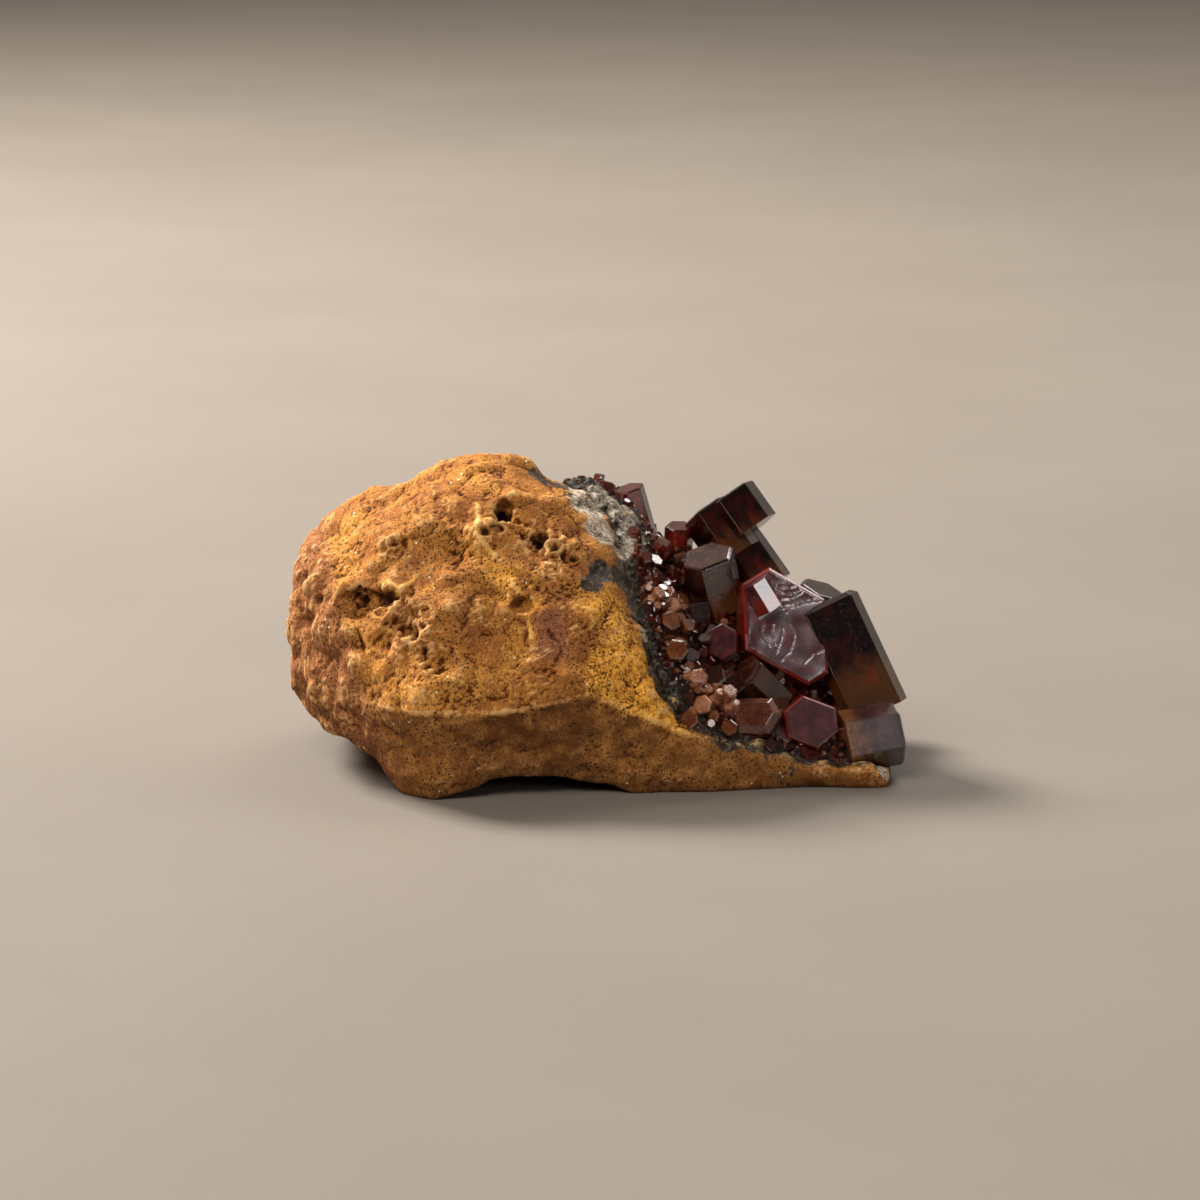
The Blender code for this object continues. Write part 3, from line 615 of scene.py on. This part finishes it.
def placing(form):
    """The turn and the shift that bring a crystal from its own axis to its place."""
    return (Matrix.Translation(form["at"]) @ Matrix.Rotation(math.radians(form["towards"]), 4, "Z")
            @ Matrix.Rotation(math.radians(form["lean"]), 4, "Y")
            @ Matrix.Rotation(math.radians(form["turn"]), 4, "Z"))


def crystal_solid(form):
    """One crystal about its own axis, cut from a block by its faces, with its edges just rounded."""
    bm = bmesh.new()
    bmesh.ops.create_cube(bm, size=60)
    up = Vector((0, 0, 1))
    cut_face(bm, up, form["top"])
    cut_face(bm, -up, form["root"])
    tilt = math.radians(BEVEL_FACE_TILT)
    for number, reach in enumerate(form["sides"]):
        bearing = math.radians(60 * number)
        out = Vector((math.cos(bearing), math.sin(bearing), 0))
        cut_face(bm, out, reach)
        slope = out * math.sin(tilt) + up * math.cos(tilt)
        edge = out * (reach - form["bevel"]) + up * form["top"]
        cut_face(bm, slope, slope.dot(edge))
    bmesh.ops.recalc_face_normals(bm, faces=bm.faces)
    bmesh.ops.bevel(bm, geom=bm.edges[:], offset=WORN_EDGE, affect="EDGES", segments=1, profile=0.5,
                    material=-1, clamp_overlap=True)
    return bm


def netted_end(bm, form, spacing):
    """Cuts the end face into a fine square net, and gives the points of it."""
    sides = max(form["sides"])
    for axis in (Vector((1, 0, 0)), Vector((0, 1, 0))):
        for step in range(int(-sides / spacing), int(sides / spacing) + 1):
            faces = [face for face in bm.faces if face.normal.z > 0.999]
            around = {item for face in faces for item in (face, *face.edges, *face.verts)}
            bmesh.ops.bisect_plane(bm, geom=list(around), dist=1e-5, plane_co=axis * step * spacing,
                                   plane_no=axis)
    level = form["top"]
    return [vert for vert in bm.verts
            if abs(vert.co.z - level) < 1e-4 and all(face.normal.z > 0.999 for face in vert.link_faces)]


def joined(solids):
    """Several shapes in one bmesh, each already in its place."""
    whole = bmesh.new()
    whole.verts.layers.float_vector.new("grown")
    whole.verts.layers.float.new("line")
    for solid in solids:
        part = bpy.data.meshes.new("part")
        solid.to_mesh(part)
        solid.free()
        whole.from_mesh(part)
        bpy.data.meshes.remove(part)
    return whole


def crystal_finish(name, dark, bright, glow, density, see_through, roughness=0.12,
                   root=(0.20, 0.06, 0.018, 1), relief=1.0, rim=None):
    """Glassy vanadinite: two body colours, the colour that thin parts let through and how fast it
    deepens, how see-through it is, and the colours of its root and of the rim round its end face,
    which is a painted red glow of light shining through the thin edge."""
    finish = Finish(name)
    grown = finish.attribute("grown", output=1)
    cloudy = finish.noise(grown, 0.45, 5, 0.65, 0.4)
    bands = finish.noise(finish.stretched(grown, (0.3, 0.3, 5)), 0.8, 5, 0.75)
    etched = finish.noise(grown, 2.4, 5, 0.75)
    depth = finish.node("ShaderNodeSeparateXYZ", None, {0: grown}, output=2)
    towards_root = ((cloudy - 0.5) * 5 - depth).above(0.6, 4.2)
    colour = finish.blend(cloudy.above(0.38, 0.68), dark, bright)
    # The rim is a painted glow: light shining through the thin edge round the end face
    if rim:
        colour = finish.blend((0 - depth).above(0.02, 0.12) * 0.9, colour, rim)
    colour = finish.blend(towards_root * 0.8, colour, root)
    finish.surface(
        # The plate's growth-layer edges get a painted highlight
        base_color=finish.blend(finish.attribute("line") * 0.8, colour, LINE_HIGHLIGHT_COLOUR),
        roughness=roughness + etched.above(0.48, 0.72) * 0.2 * relief,
        normal=finish.bump(bands, 0.3, 0.04 * relief, finish.bump(etched, 0.3, 0.04 * relief)),
        ior=2.4,
        transmission_weight=see_through,
    )
    volume = finish.node("ShaderNodeVolumeAbsorption", None, {"Color": glow, "Density": density})
    finish.tree.links.new(volume.socket, finish.tree.nodes["Material Output"].inputs["Volume"])
    return finish


# Thin raised edges of growth layers on the large plate's end face, in millimetres across that face
PLATE_LINES = [
    [(-1.6, 5.9), (-0.3, 5.2), (1.1, 4.95), (2.2, 5.3), (3, 6.2)],
    [(-1, 5), (-0.1, 4.4), (1.1, 4.2), (2.2, 4.55), (3.1, 5.3)],
    [(-0.2, 3.5), (0.8, 3.5), (1.65, 3.8), (2.4, 4.15), (3.2, 4.8)],
    [(-1.3, 0.2), (-1.6, -1), (-1.1, -2.5)],
    [(-2.45, 0.8), (-2.85, -0.7), (-2.4, -1.9), (-1.9, -2.6)],
    [(-0.05, -0.3), (-0.25, -1.5), (-1, -3.4)],
    [(0.5, 2), (0.85, 0.2), (1.5, -1.05), (1.2, -2.2), (0.7, -3.4), (-0.4, -4.5)],
    [(5.2, -3.15), (3.7, -3.75), (2.6, -4.9)],
]
# The edge of the layer that lies over the far part of that face
PLATE_STEP = [(-0.25, 2.25), (1.6, 2.6), (3.1, 3), (5.6, 3.5)]
PLATE_STEP_HEIGHT = 0.12
PLATE_LINE_WIDTH = 0.13
PLATE_NET = 0.17            # spacing of the points on that face
# Which finish each crystal takes; those not named here are maroon
FINISH_OF = {
    "large_tabular_crystal": "mauve", "front_hexagon_crystal": "mauve", "ridge_crystal": "red",
    "rounded_red_crystal": "orange", "brown_root_crystal": "brown", "small_wedge_crystal": "mauve",
    "bright_prism_crystal": "sparkly", "lower_right_crystal": "etched",
    "wall_crystal": "red", "small_mauve_crystal": "mauve", "rear_ridge_crystal": "red",
    "rear_slope_crystal": "red", "right_low_crystal": "brown",
}
# The ones of a lighter, orange red. No finish is chosen by this list; FINISH_OF gives each its finish.
ORANGE_RED = ("rounded_red_crystal", "brown_root_crystal", "small_wedge_crystal")
# Painted highlight: the raised edges of the plate's growth layers are coloured pale, as if catching the
# light
LINE_HIGHLIGHT_COLOUR = (0.60, 0.42, 0.44, 1)
crystal_finishes = {
    "maroon": crystal_finish("dark_red_crystal", (0.018, 0.002, 0.001, 1), (0.17, 0.013, 0.006, 1),
                             (0.78, 0.07, 0.02, 1), density=900, see_through=0.86, roughness=0.07,
                             root=(0.60, 0.22, 0.06, 1)),
    "etched": crystal_finish("etched_crystal", (0.065, 0.026, 0.024, 1), (0.20, 0.085, 0.078, 1),
                             (0.82, 0.08, 0.02, 1), density=900, see_through=0.66, roughness=0.17,
                             root=(0.55, 0.20, 0.05, 1), relief=0.4),
    "sparkly": crystal_finish("sparkly_crystal", (0.045, 0.010, 0.009, 1), (0.16, 0.035, 0.030, 1),
                              (0.82, 0.08, 0.02, 1), density=800, see_through=0.75, roughness=0.08,
                              root=(0.62, 0.24, 0.07, 1), relief=1.7),
    # The mauve ones get a painted red glow round their end faces, where light shines through the thin edge
    "mauve": crystal_finish("mauve_crystal", (0.085, 0.018, 0.022, 1), (0.22, 0.045, 0.052, 1),
                            (0.88, 0.08, 0.03, 1), density=700, see_through=0.5, roughness=0.2,
                            root=(0.24, 0.07, 0.02, 1), relief=0.25, rim=(0.36, 0.016, 0.007, 1)),
    "red": crystal_finish("bright_red_crystal", (0.13, 0.010, 0.005, 1), (0.34, 0.032, 0.012, 1),
                          (0.95, 0.12, 0.03, 1), density=450, see_through=0.8),
    "brown": crystal_finish("brown_crystal", (0.10, 0.022, 0.009, 1), (0.32, 0.10, 0.03, 1),
                            (0.96, 0.30, 0.08, 1), density=400, see_through=0.8, roughness=0.1),
    "orange": crystal_finish("orange_red_crystal", (0.22, 0.035, 0.014, 1), (0.50, 0.12, 0.04, 1),
                             (0.98, 0.28, 0.08, 1), density=330, see_through=0.75, roughness=0.2,
                             root=(0.44, 0.19, 0.06, 1)),
}


def plate_relief(points):
    """The growth layers on the plate: how high each point stands, and how near a layer's edge."""
    flat = np.array([(x, y, 0) for x, y, _ in points])
    edges = np.zeros(len(flat))
    for line in PLATE_LINES + [PLATE_STEP]:
        route = [(x, y, 0) for x, y in line]
        edges = np.maximum(edges, np.exp(-(distance_to_line(flat, route) / PLATE_LINE_WIDTH) ** 2))
    broken = np.array([0.62 + noise.noise(Vector((x * 1.1, y * 1.1, 7))) for x, y, _ in flat])
    edges *= np.clip(broken, 0.1, 1)
    step_level = np.interp(flat[:, 0], *zip(*PLATE_STEP))
    step = PLATE_STEP_HEIGHT * np.clip((flat[:, 1] - step_level) / 0.2, 0, 1)
    waves = [noise.noise(Vector((x * 0.4, y * 0.4, 1))) * 0.10 for x, y, _ in flat]
    return step + waves + 0.08 * edges, edges


for name, forms in CRYSTALS.items():
    solids = []
    for number, form in enumerate(forms):
        solid = crystal_solid(form)
        netted = name == "large_tabular_crystal" and number == 0
        grown = solid.verts.layers.float_vector.new("grown")
        line = solid.verts.layers.float.new("line")
        face_points = netted_end(solid, form, PLATE_NET) if netted else []
        for vert in solid.verts:
            vert[grown] = vert.co
        if netted:
            for vert, height, edge in zip(face_points, *plate_relief([vert.co for vert in face_points])):
                vert.co.z += height
                vert[line] = edge
        bmesh.ops.transform(solid, matrix=placing(form), verts=solid.verts)
        solids.append(solid)
    piece = add_piece(f"{name}_faces", joined(solids), [crystal_finishes[FINISH_OF.get(name, "maroon")]])
    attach(piece, "root")
    "orange_red_crystal" if name in ORANGE_RED else "dark_red_crystal"
    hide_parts(name)


# The crust between the rock and the large crystals: a thin dark skin of crystal grains grown over the
# slope, with a thousand small vanadinite crystals standing in it, orange-brown where they are thin.
# The skin follows the rock and reaches the large crystals' roots, as they all grew together.

# The small crystals stand inside this second line. Outside it the crust is bare black and grey.
GROWTH_OUTLINE = [(-3.6, 7.5), (1.5, 4.6), (6.2, 2.4), (8, -0.8), (5.6, -4), (4.8, -8), (6.8, -13.6),
                  (9.4, -17.6), (14, -18.6), (20, -18), (27, -17), (34, -16.4), (36.2, -12), (36.4, 0),
                  (33, 7.6), (26, 13), (17.8, 15.6), (8, 18), (1.2, 17), (-3.6, 11)]
# Where its bare part is pale grey, with ochre in it
PALE_TONGUE = [((0.8, 0.8, 34.4), 2.6), ((4.2, 0, 32), 3.4), ((5, -3.5, 29), 3.2), ((4, -6.5, 27.5), 2)]
CRUST_NET = 0.42            # spacing of the points on its surface
CRUST_THICKNESS = 1.9
CRUST_RIM = 2.6             # how far in from its edge the crust reaches its full thickness
CRUST_UNDER = 1.6           # how far it reaches down into the rock
CRUST_SPAN = (44, 40)       # the field that it is cut from, and the middle of that field
CRUST_MIDDLE = (16.5, -0.5)
CRUST_SEED = 31
SCATTERED = 4200            # tries to set down a small crystal. Most find no room.
SATELLITES = 7              # smaller crystals round each pinkish one
# The larger ones, most of them as the photograph shows: x, y, lean, bearing, turn, half width, height
# and finish
STANDING = [
    (7.6, -10.5, 48, -40, 0, 1.25, 1.5, "pink"), (9.7, -8.6, 40, -75, 37, 1.7, 1.8, "pink"),
    (9.3, -11.6, 55, -60, 74, 1.4, 1.4, "honey"), (10.3, -14.2, 60, -80, 111, 1.5, 1.5, "honey"),
    (12.4, -12.5, 35, -100, 148, 1.4, 1.9, "dark"), (12.9, -15.6, 62, -70, 185, 1.7, 1.5, "pink"),
    (15.4, -13.7, 50, -95, 222, 1.6, 1.7, "dark"), (14.2, -17.4, 66, -110, 259, 1.7, 1.5, "pink"),
    (16.6, -16, 38, -60, 296, 1.5, 2.0, "pink"), (17.6, -13.2, 58, -80, 333, 1.5, 1.7, "dark"),
    (1.4, 5.6, 22, 60, 10, 1.2, 0.8, "red"), (8.5, -1.5, 40, -20, 47, 1.6, 1.5, "red"),
    (33.5, 1.5, 40, 30, 84, 1.6, 1.5, "dark"), (29.5, 9.5, 50, 75, 121, 1.5, 1.4, "red"),
    (12, 11, 30, 100, 158, 1.6, 1.4, "dark"), (22, -17.8, 62, -60, 306, 0.9, 1.2, "dark"),
    (12.2, -18.3, 60, -100, 343, 1.3, 1.1, "honey"), (17.2, -18.2, 64, -95, 20, 1.1, 1.1, "honey"),
    (6.2, -7, 50, -60, 57, 1.0, 1.2, "red"), (7.4, -4.6, 40, -40, 94, 1.1, 1.2, "red"),
    (5.2, -3.4, 36, -100, 131, 0.9, 1.0, "red"), (11.4, -10.2, 50, -50, 168, 1.0, 1.5, "honey"),
    (14.6, -10, 30, -120, 205, 1.1, 1.6, "dark"),
]


def inside(x, y, outline):
    """Whether a place on the map lies inside a closed line."""
    crossings = 0
    for (x1, y1), (x2, y2) in zip(outline, outline[1:] + outline[:1]):
        if (y1 > y) != (y2 > y) and x < x1 + (y - y1) * (x2 - x1) / (y2 - y1):
            crossings += 1
    return crossings % 2 == 1


def height_on(tree, x, y):
    """Where a line straight down over a place on the map first meets a shape, and the normal there."""
    return tree.ray_cast(Vector((x, y, 80)), Vector((0, 0, -1)))


carrier = node_in_mm("matrix_rock")
rock_tree = BVHTree.FromBMesh(carrier)
carrier.free()
bm = bmesh.new()
bmesh.ops.create_grid(bm, x_segments=round(CRUST_SPAN[0] / CRUST_NET),
                      y_segments=round(CRUST_SPAN[1] / CRUST_NET), size=0.5)
bmesh.ops.scale(bm, vec=(*CRUST_SPAN, 1), verts=bm.verts)
bmesh.ops.translate(bm, vec=(*CRUST_MIDDLE, 0), verts=bm.verts)
outside = [face for face in bm.faces if not inside(*face.calc_center_median().xy, CRUST_OUTLINE)]
bmesh.ops.delete(bm, geom=outside, context="FACES")
rim = [vert for vert in bm.verts if vert.is_boundary]
even_out(bm, rim, 3, upwards=False)
inwards = distance_to_line(np.array([vert.co for vert in bm.verts]), outline_loop)
for vert, depth_in in zip(bm.verts, inwards):
    around = [(0, 0), (0.7, 0), (-0.7, 0), (0, 0.7), (0, -0.7)]
    hits = [height_on(rock_tree, vert.co.x + dx, vert.co.y + dy)[0] for dx, dy in around]
    ground = max([hit.z for hit in hits if hit] or [0])
    swell = CRUST_THICKNESS * share(depth_in, -0.4, CRUST_RIM)
    vert.co.z = ground + swell - 0.25
lid = bmesh.ops.extrude_face_region(bm, geom=bm.faces[:])["geom"]
raised = {item for item in lid if isinstance(item, bmesh.types.BMVert)}
for vert in bm.verts:
    if vert not in raised:
        vert.co.z = max(0.3, vert.co.z - CRUST_UNDER - CRUST_THICKNESS)
bmesh.ops.recalc_face_normals(bm, faces=bm.faces)
bm = with_even_net(bm, CRUST_NET)
even_out(bm, bm.verts, 1)
bm.normal_update()
for vert in bm.verts:
    if vert.normal.z < -0.1:
        continue
    grains = noise.voronoi(vert.co * 0.9)[0]
    swell = 0.5 * noise.noise(vert.co * 0.35) + 0.7 * (0.45 - grains[0]) + 0.4 * noise.noise(vert.co * 1.1)
    vert.co += vert.normal * swell
crust_tree = BVHTree.FromBMesh(bm)

growth_loop = [(x, y, 0) for x, y in GROWTH_OUTLINE + GROWTH_OUTLINE[:1]]
points = np.array([vert.co for vert in bm.verts])
bare = distance_to_line(points * (1, 1, 0), growth_loop) * [
    -1 if inside(x, y, GROWTH_OUTLINE) else 1 for x, y, _ in points]
seam = bm.verts.layers.float.new("seam")
pale = bm.verts.layers.float.new("pale")
for vert, out_by, tongue in zip(bm.verts, bare, nearness(points, PALE_TONGUE)):
    vert[seam] = min(1, max(0, 0.5 + out_by / 1.4))
    vert[pale] = tongue

skin = Finish("small_crystal_crust")
spot = skin.place()
patches = skin.noise(spot, 0.45, 5, 0.65)
grains = skin.noise(spot, 2.4, 5, 0.8)
streaks = skin.noise(skin.stretched(spot, (1, 1.6, 0.6)), 1.3, 6, 0.8, 0.8)
colour = skin.blend(patches.above(0.42, 0.6), (0.022, 0.014, 0.012, 1), (0.15, 0.032, 0.014, 1))
seam_colour = skin.blend(streaks.above(0.48, 0.6), SEAM_BLACK, (0.20, 0.185, 0.14, 1))
seam_colour = skin.blend(grains.above(0.56, 0.64) * 0.7, seam_colour, (0.40, 0.17, 0.045, 1))
pale_colour = skin.blend(streaks.above(0.42, 0.56), TONGUE_DARK, TONGUE_PALE)
pale_colour = skin.blend(patches.above(0.56, 0.66) * 0.8, pale_colour, TONGUE_OCHRE)
tongue = (skin.attribute("pale") + (patches - 0.5) * 1.5).above(0.2, 0.5)
seam_colour = skin.blend(tongue, seam_colour, pale_colour)
bare = (skin.attribute("seam") + (patches - 0.5) * 1.2).above(0.42, 0.62)
colour = skin.blend(bare, colour, seam_colour)
fine = skin.noise(spot, 6, 4, 0.75)
colour = skin.shaded(fine.above(0.6, 0.36) * 0.7, colour, (0.25, 0.23, 0.22, 1))
skin.surface(base_color=colour, roughness=0.25 + bare * 0.35 + grains * 0.2,
             normal=skin.bump(fine, 0.8, 0.15, skin.bump(grains, 1, 0.4)))
crust_skin = add_piece("crust_skin", bm, [skin])
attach(crust_skin, "root")
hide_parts("crystal_crust")


def within(form, place):
    """Whether a place lies inside one of the large crystals."""
    local = placing(form).inverted() @ place
    if not -form["root"] < local.z < form["top"]:
        return False
    return all(local.x * math.cos(math.radians(60 * n)) + local.y * math.sin(math.radians(60 * n)) < reach
               for n, reach in enumerate(form["sides"]))


def small_crystal(bm, place, lean, bearing, turn, width, tall):
    """A little six-sided prism with a bevelled end, its root sunk in what it grew on."""
    root = width * 0.9
    stand = (Matrix.Translation(place) @ Matrix.Rotation(math.radians(bearing), 4, "Z")
             @ Matrix.Rotation(math.radians(lean), 4, "Y") @ Matrix.Rotation(math.radians(turn), 4, "Z")
             @ Matrix.Translation((0, 0, (tall - root) / 2)))
    made = bmesh.ops.create_cone(bm, cap_ends=True, segments=6, radius1=width, radius2=width,
                                 depth=tall + root, matrix=stand)["verts"]
    grown = bm.verts.layers.float_vector["grown"]
    axis = stand.col[2].xyz
    ends = {face for vert in made for face in vert.link_faces if len(face.verts) == 6}
    end = max(ends, key=lambda face: face.calc_center_median().dot(axis))
    bmesh.ops.inset_individual(bm, faces=[end], thickness=width * 0.2, depth=width * 0.16)
    back = stand.inverted()
    for vert in made + list(end.verts):
        vert[grown] = back @ vert.co + Vector(place)


small_finishes = {
    "honey": crystal_finish("honey_small_crystal", (0.36, 0.07, 0.016, 1), (0.66, 0.20, 0.05, 1),
                            (0.98, 0.36, 0.08, 1), density=420, see_through=0.75, roughness=0.08,
                            root=(0.5, 0.17, 0.05, 1), relief=2.2),
    "pink": crystal_finish("pinkish_small_crystal", (0.44, 0.13, 0.05, 1), (0.72, 0.30, 0.14, 1),
                           (0.98, 0.36, 0.18, 1), density=360, see_through=0.5, roughness=0.14,
                           root=(0.6, 0.24, 0.10, 1), relief=3.5),
    "red": crystal_finish("deep_red_small_crystal", (0.20, 0.012, 0.005, 1), (0.46, 0.045, 0.014, 1),
                          (0.95, 0.11, 0.03, 1), density=520, see_through=0.85, roughness=0.06,
                          root=(0.40, 0.07, 0.02, 1)),
    "dark": crystal_finish("dark_small_crystal", (0.06, 0.008, 0.004, 1), (0.18, 0.022, 0.010, 1),
                           (0.88, 0.1, 0.04, 1), density=700, see_through=0.8, roughness=0.08,
                           root=(0.20, 0.045, 0.015, 1)),
}
draw = random.Random(CRUST_SEED)
large_forms = [form for forms in CRYSTALS.values() for form in forms]
clusters = {kind: bmesh.new() for kind in small_finishes}
for bm in clusters.values():
    bm.verts.layers.float_vector.new("grown")
taken = []
for x, y, lean, bearing, turn, width, tall, kind in STANDING:
    place = height_on(crust_tree, x, y)[0]
    bunched = kind == "pink"
    small_crystal(clusters[kind], place, lean, bearing, turn, width * (0.75 if bunched else 1), tall)
    taken.append((place, width * 0.8))
    for side in range(SATELLITES if bunched else 0):
        swing = math.radians(360 * side / SATELLITES + 40 * draw.random())
        x2, y2 = x + math.cos(swing) * width * 0.8, y + math.sin(swing) * width * 0.8
        by = height_on(crust_tree, x2, y2)[0]
        if by:
            small_crystal(clusters["honey" if draw.random() < 0.3 else kind], by,
                          lean + draw.uniform(-30, 30), bearing + draw.uniform(-50, 50),
                          draw.uniform(0, 60), width * draw.uniform(0.32, 0.5),
                          tall * draw.uniform(0.5, 0.95))
for _ in range(SCATTERED):
    x, y = draw.uniform(-4, 37), draw.uniform(-19, 18)
    tilt, swing, turn = draw.uniform(-34, 34), draw.uniform(-50, 50), draw.uniform(0, 60)
    size, stretch, mood = draw.random(), draw.uniform(0.7, 1.7), draw.random()
    place, normal, _, _ = height_on(crust_tree, x, y)
    if not (place and inside(x, y, GROWTH_OUTLINE)):
        continue
    near_rim = distance_to_line(np.array([(x, y, 0)]), growth_loop)[0] < 2.5
    width = 0.2 + (0.35 if near_rim else 0.8) * size * size
    crowded = any((place - other).length < (width + wide) * 0.6 for other, wide in taken)
    if crowded or any(within(form, place) for form in large_forms):
        continue
    lean = math.degrees(normal.angle(Vector((0, 0, 1)))) * 0.8 + tilt
    bearing = math.degrees(math.atan2(normal.y, normal.x)) + swing
    warm = share(13 - x, 0, 9)
    kind = "red" if mood < 0.42 else "dark" if mood > 0.62 + 0.2 * warm else "honey"
    small_crystal(clusters[kind], place, lean, bearing, turn, width, width * stretch)
    taken.append((place, width))
for kind, bm in clusters.items():
    piece = add_piece(f"small_{kind}_crystals", bm, [small_finishes[kind]])
    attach(piece, "root")
